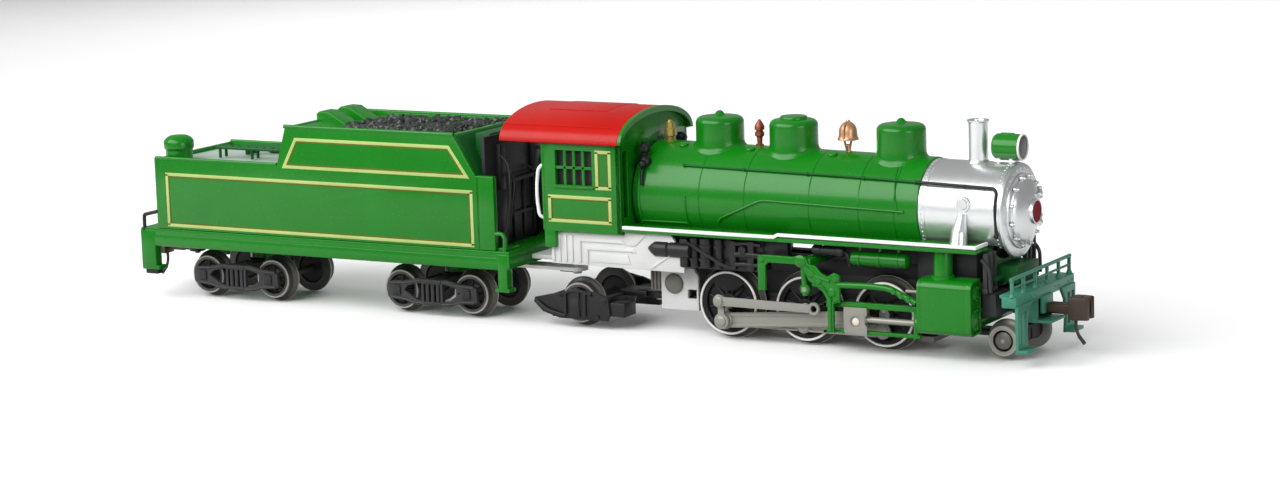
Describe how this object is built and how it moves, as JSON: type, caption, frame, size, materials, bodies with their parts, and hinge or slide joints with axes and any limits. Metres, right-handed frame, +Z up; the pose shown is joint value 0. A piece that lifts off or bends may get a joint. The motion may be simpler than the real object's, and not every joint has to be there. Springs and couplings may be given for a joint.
{
  "type": "model steam locomotive",
  "caption": "Model steam locomotive with coupled driving wheels, moving rods, a geared motor drive and a coal tender on swivelling trucks.",
  "frame": {"origin": "middle of the overall length and width, at the bottom of the wheel flanges", "axes": "+X forward, +Y to the locomotive's left, +Z up"},
  "size_m": [0.1468, 0.02, 0.0297],
  "materials": {
    "green_enamel": "gloss",
    "teal_plastic": "satin",
    "red_paint": "gloss",
    "silver_paint": "satin",
    "painted_casting": "satin",
    "black_plastic": "satin",
    "rod_metal": "brushed",
    "wheel_metal": "polished",
    "coupler_metal": "satin",
    "brass": "polished",
    "copper": "satin",
    "cast_weight": "matte",
    "gear_nylon": "matte",
    "coal": "gloss"
  },
  "bodies": {
    "locomotive": {"boiler_shell": "green_enamel", "smokebox_shell": "silver_paint", "smokebox_front": "silver_paint", "smokestack": "silver_paint", "headlight": "green_enamel", "bell": "copper", "whistle": "copper", "safety_valve": "brass", "cab_shell": "green_enamel", "cab_roof": "red_paint", "running_board_right": "green_enamel", "running_board_left": "green_enamel", "chassis_frame_right": "cast_weight", "chassis_frame_left": "cast_weight", "keeper_plate": "black_plastic", "firebox_frame": "painted_casting", "motor": "black_plastic", "cylinder_block": "green_enamel", "smokebox_saddle": "green_enamel", "valve_gear_hanger_right": "green_enamel", "valve_gear_hanger_left": "green_enamel", "pilot": "teal_plastic"},
    "driver_rear": {"driver_axle_rear": "rod_metal", "driver_wheel_rear_right": "wheel_metal", "driver_wheel_rear_left": "wheel_metal", "axle_gear": "gear_nylon", "return_crank_right": "rod_metal", "return_crank_left": "rod_metal"},
    "driver_middle": {"driver_axle_middle": "rod_metal", "driver_wheel_middle_right": "wheel_metal", "driver_wheel_middle_left": "wheel_metal"},
    "driver_front": {"driver_axle_front": "rod_metal", "driver_wheel_front_right": "wheel_metal", "driver_wheel_front_left": "wheel_metal"},
    "idler": {"idler_gear": "gear_nylon"},
    "worm": {"worm_shaft": "rod_metal"},
    "side_rod_right": {"side_rod_right": "rod_metal"},
    "main_rod_right": {"main_rod_right": "rod_metal"},
    "eccentric_rod_right": {"eccentric_rod_right": "rod_metal"},
    "crosshead_right": {"crosshead_right": "rod_metal"},
    "side_rod_left": {"side_rod_left": "rod_metal"},
    "main_rod_left": {"main_rod_left": "rod_metal"},
    "eccentric_rod_left": {"eccentric_rod_left": "rod_metal"},
    "crosshead_left": {"crosshead_left": "rod_metal"},
    "pilot_truck": {"pilot_truck_frame": "black_plastic"},
    "pilot_wheels": {"pilot_wheelset": "wheel_metal"},
    "trailing_truck": {"trailing_truck_frame": "black_plastic"},
    "trailing_wheels": {"trailing_wheelset": "wheel_metal"},
    "front_coupler": {"front_coupler": "coupler_metal"},
    "drawbar": {"drawbar": "rod_metal"},
    "tender": {"tender_shell": "green_enamel", "tender_underframe": "green_enamel", "coal_load": "coal"},
    "rear_coupler": {"rear_coupler": "coupler_metal"},
    "tender_truck_front": {"tender_truck_frame_front": "black_plastic"},
    "tender_wheels_front_a": {"tender_wheelset_front_a": "wheel_metal"},
    "tender_wheels_front_b": {"tender_wheelset_front_b": "wheel_metal"},
    "tender_truck_rear": {"tender_truck_frame_rear": "black_plastic"},
    "tender_wheels_rear_a": {"tender_wheelset_rear_a": "wheel_metal"},
    "tender_wheels_rear_b": {"tender_wheelset_rear_b": "wheel_metal"}
  },
  "joints": [
    {"name": "driver_rear_spin", "type": "hinge", "parent": "locomotive", "child": "driver_rear", "pos_m": [0.02491, 0, 0.00483], "axis": [0, 1, 0], "continuous": true},
    {"name": "driver_middle_spin", "type": "hinge", "parent": "locomotive", "child": "driver_middle", "pos_m": [0.03617, 0, 0.00483], "axis": [0, 1, 0], "continuous": true},
    {"name": "driver_front_spin", "type": "hinge", "parent": "locomotive", "child": "driver_front", "pos_m": [0.04745, 0, 0.00483], "axis": [0, 1, 0], "continuous": true},
    {"name": "idler_spin", "type": "hinge", "parent": "locomotive", "child": "idler", "pos_m": [0.02491, 0, 0.00971], "axis": [0, 1, 0], "continuous": true},
    {"name": "worm_spin", "type": "hinge", "parent": "locomotive", "child": "worm", "pos_m": [0.02491, 0, 0.01304], "axis": [1, 0, 0], "continuous": true},
    {"name": "side_rod_right_pin", "type": "hinge", "parent": "driver_rear", "child": "side_rod_right", "pos_m": [0.02491, -0.006, 0.00278], "axis": [0, 1, 0], "continuous": true},
    {"name": "main_rod_right_pin", "type": "hinge", "parent": "driver_rear", "child": "main_rod_right", "pos_m": [0.02491, -0.0068, 0.00278], "axis": [0, 1, 0], "continuous": true},
    {"name": "eccentric_rod_right_pin", "type": "hinge", "parent": "driver_rear", "child": "eccentric_rod_right", "pos_m": [0.02483, -0.008, 0.00552], "axis": [0, 1, 0], "continuous": true},
    {"name": "crosshead_right_slide", "type": "slide", "parent": "locomotive", "child": "crosshead_right", "axis": [1, 0, 0], "range_m": [-0.00205, 0.00205]},
    {"name": "side_rod_left_pin", "type": "hinge", "parent": "driver_rear", "child": "side_rod_left", "pos_m": [0.02695, 0.006, 0.00483], "axis": [0, 1, 0], "continuous": true},
    {"name": "main_rod_left_pin", "type": "hinge", "parent": "driver_rear", "child": "main_rod_left", "pos_m": [0.02695, 0.0068, 0.00483], "axis": [0, 1, 0], "continuous": true},
    {"name": "eccentric_rod_left_pin", "type": "hinge", "parent": "driver_rear", "child": "eccentric_rod_left", "pos_m": [0.02422, 0.008, 0.00476], "axis": [0, 1, 0], "continuous": true},
    {"name": "crosshead_left_slide", "type": "slide", "parent": "locomotive", "child": "crosshead_left", "axis": [1, 0, 0], "range_m": [-0.0041, 0]},
    {"name": "pilot_truck_swing", "type": "hinge", "parent": "locomotive", "child": "pilot_truck", "pos_m": [0.05618, 0, 0.0026], "axis": [0, 0, 1], "range_deg": [-6, 6]},
    {"name": "pilot_wheel_spin", "type": "hinge", "parent": "pilot_truck", "child": "pilot_wheels", "pos_m": [0.06385, 0, 0.0026], "axis": [0, 1, 0], "continuous": true},
    {"name": "trailing_truck_swing", "type": "hinge", "parent": "locomotive", "child": "trailing_truck", "pos_m": [0.01158, 0, 0.00435], "axis": [0, 0, 1], "range_deg": [-6, 6]},
    {"name": "trailing_wheel_spin", "type": "hinge", "parent": "trailing_truck", "child": "trailing_wheels", "pos_m": [0.00217, 0, 0.00336], "axis": [0, 1, 0], "continuous": true},
    {"name": "front_coupler_swing", "type": "hinge", "parent": "locomotive", "child": "front_coupler", "pos_m": [0.06582, 0, 0.0062], "axis": [0, 0, 1], "range_deg": [-8, 8], "stiffness_Nm_per_rad": 0.00002},
    {"name": "drawbar_swing", "type": "hinge", "parent": "locomotive", "child": "drawbar", "pos_m": [-0.00133, 0, 0.00695], "axis": [0, 0, 1], "range_deg": [-10, 10]},
    {"name": "tender_swing", "type": "hinge", "parent": "drawbar", "child": "tender", "pos_m": [-0.01282, 0, 0.00695], "axis": [0, 0, 1], "range_deg": [-12, 12]},
    {"name": "tender_truck_front_swing", "type": "hinge", "parent": "tender", "child": "tender_truck_front", "pos_m": [-0.02076, 0, 0.0046], "axis": [0, 0, 1], "range_deg": [-10, 10]},
    {"name": "tender_wheel_front_a_spin", "type": "hinge", "parent": "tender_truck_front", "child": "tender_wheels_front_a", "pos_m": [-0.01506, 0, 0.00336], "axis": [0, 1, 0], "continuous": true},
    {"name": "tender_wheel_front_b_spin", "type": "hinge", "parent": "tender_truck_front", "child": "tender_wheels_front_b", "pos_m": [-0.02647, 0, 0.00336], "axis": [0, 1, 0], "continuous": true},
    {"name": "tender_truck_rear_swing", "type": "hinge", "parent": "tender", "child": "tender_truck_rear", "pos_m": [-0.05411, 0, 0.0046], "axis": [0, 0, 1], "range_deg": [-10, 10]},
    {"name": "tender_wheel_rear_a_spin", "type": "hinge", "parent": "tender_truck_rear", "child": "tender_wheels_rear_a", "pos_m": [-0.0484, 0, 0.00336], "axis": [0, 1, 0], "continuous": true},
    {"name": "tender_wheel_rear_b_spin", "type": "hinge", "parent": "tender_truck_rear", "child": "tender_wheels_rear_b", "pos_m": [-0.05981, 0, 0.00336], "axis": [0, 1, 0], "continuous": true},
    {"name": "rear_coupler_swing", "type": "hinge", "parent": "tender", "child": "rear_coupler", "pos_m": [-0.06582, 0, 0.0062], "axis": [0, 0, 1], "range_deg": [-8, 8], "stiffness_Nm_per_rad": 0.00002}
  ],
  "couplings": [
    {"joint": "driver_middle_spin", "follows": "driver_rear_spin", "ratio": 1},
    {"joint": "driver_front_spin", "follows": "driver_rear_spin", "ratio": 1},
    {"joint": "idler_spin", "follows": "driver_rear_spin", "ratio": -1.2857},
    {"joint": "worm_spin", "follows": "driver_rear_spin", "ratio": 18},
    {"joint": "side_rod_right_pin", "follows": "driver_rear_spin", "ratio": -1},
    {"joint": "main_rod_right_pin", "follows": "driver_rear_spin", "ratio": -1},
    {"joint": "eccentric_rod_right_pin", "follows": "driver_rear_spin", "ratio": -1},
    {"joint": "side_rod_left_pin", "follows": "driver_rear_spin", "ratio": -1},
    {"joint": "main_rod_left_pin", "follows": "driver_rear_spin", "ratio": -1},
    {"joint": "eccentric_rod_left_pin", "follows": "driver_rear_spin", "ratio": -1}
  ]
}
